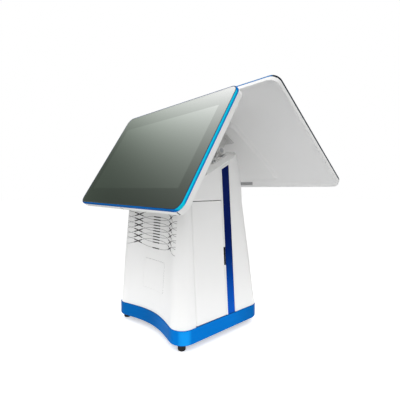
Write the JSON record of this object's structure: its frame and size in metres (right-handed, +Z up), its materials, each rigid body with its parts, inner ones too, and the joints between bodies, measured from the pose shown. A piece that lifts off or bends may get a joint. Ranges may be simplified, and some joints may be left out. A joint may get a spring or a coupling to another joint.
{
  "type": "pos touchscreen terminal",
  "caption": "Counter-top till on a tapered white pedestal with a blue base, carrying a customer display and a larger operator touchscreen back to back on friction tilt hinges.",
  "frame": {"origin": "on the counter, under the centre of the overall box", "axes": "+Z up, +X along the displays, -Y towards the customer, +Y towards the operator"},
  "size_m": [0.3732, 0.3508, 0.3982],
  "materials": {
    "white_abs": "satin, fine moulded grain",
    "blue_band": "gloss blue",
    "navy_strip": "gloss navy",
    "black_rubber": "matt",
    "plated_steel": "zinc plated",
    "dark_steel": "black coated",
    "white_steel": "light grey coated",
    "dark_plastic": "matt black",
    "grey_plastic": "matt grey",
    "nylon": "natural",
    "circuit_board": "solder mask",
    "heatsink_alloy": "extruded",
    "acoustic_cloth": "black weave",
    "cover_glass": "gloss, black printed border",
    "lcd_module": "panel"
  },
  "bodies": {
    "pedestal": {"base_tray": "blue_band", "rubber_feet": "black_rubber", "ballast_plate": "plated_steel", "front_shell": "white_abs", "neck_shell": "white_abs", "rear_shell": "white_abs", "strip_bezel_left": "white_abs", "strip_bezel_right": "white_abs", "side_strip_left": "navy_strip", "side_strip_right": "navy_strip", "deck_plate": "white_abs", "front_cover": "white_abs", "speaker_cloth": "acoustic_cloth", "speakers": "dark_plastic", "spine_frame": "plated_steel", "main_board": "circuit_board", "heatsink": "heatsink_alloy", "io_plate": "dark_steel", "io_ports": "plated_steel", "io_board": "circuit_board", "dc_inlet": "dark_plastic", "printer_chassis": "plated_steel", "print_head": "dark_plastic", "drive_motor": "plated_steel", "paper_cradle": "dark_plastic", "door_brackets": "plated_steel", "door_hinge_rod": "plated_steel", "customer_hinge_base": "white_steel", "customer_hinge_shaft": "plated_steel", "operator_hinge_base": "white_steel", "operator_hinge_shaft": "plated_steel", "hinge_nuts": "white_steel", "hinge_screws": "plated_steel", "base_screws": "plated_steel"},
    "customer_display": {"customer_hinge_leaf": "white_steel", "customer_housing": "white_abs", "customer_trim": "blue_band", "customer_glass": "cover_glass", "customer_lcd": "lcd_module", "customer_board": "circuit_board", "customer_leaf_screws": "plated_steel"},
    "operator_display": {"operator_hinge_leaf": "white_steel", "operator_housing": "white_abs", "operator_service_cover": "white_abs", "operator_trim": "navy_strip", "operator_glass": "cover_glass", "operator_lcd": "lcd_module", "operator_board": "circuit_board", "operator_port_cover": "grey_plastic", "operator_leaf_screws": "plated_steel", "button_switch": "dark_plastic"},
    "power_button": {"power_button": "dark_plastic"},
    "printer_door": {"printer_door": "white_abs"},
    "platen": {"platen_roller": "black_rubber", "platen_gear": "nylon"},
    "pinion": {"motor_pinion": "plated_steel"}
  },
  "joints": [
    {"name": "customer_tilt", "type": "hinge", "parent": "pedestal", "child": "customer_display", "pos_m": [0, -0.10614, 0.25597], "axis": [1, 0, 0], "range_deg": [-3, 18]},
    {"name": "operator_tilt", "type": "hinge", "parent": "pedestal", "child": "operator_display", "pos_m": [0, 0.01187, 0.30901], "axis": [1, 0, 0], "range_deg": [-40, 0]},
    {"name": "door_swing", "type": "hinge", "parent": "pedestal", "child": "printer_door", "pos_m": [0.08395, -0.09513, 0.12713], "axis": [0.0659, 0, -0.9978], "range_deg": [0, 86]},
    {"name": "platen_spin", "type": "hinge", "parent": "pedestal", "child": "platen", "pos_m": [0.0622, -0.06303, 0.2], "axis": [0, 1, 0], "continuous": true},
    {"name": "pinion_spin", "type": "hinge", "parent": "pedestal", "child": "pinion", "pos_m": [0.04947, -0.06303, 0.18727], "axis": [0, 1, 0], "continuous": true},
    {"name": "power_press", "type": "slide", "parent": "operator_display", "child": "power_button", "axis": [0, -0.815, 0.5794], "range_m": [0, 0.001], "stiffness_N_per_m": 900, "springref_m": -0.0008}
  ],
  "couplings": [
    {"joint": "pinion_spin", "follows": "platen_spin", "ratio": -2}
  ]
}
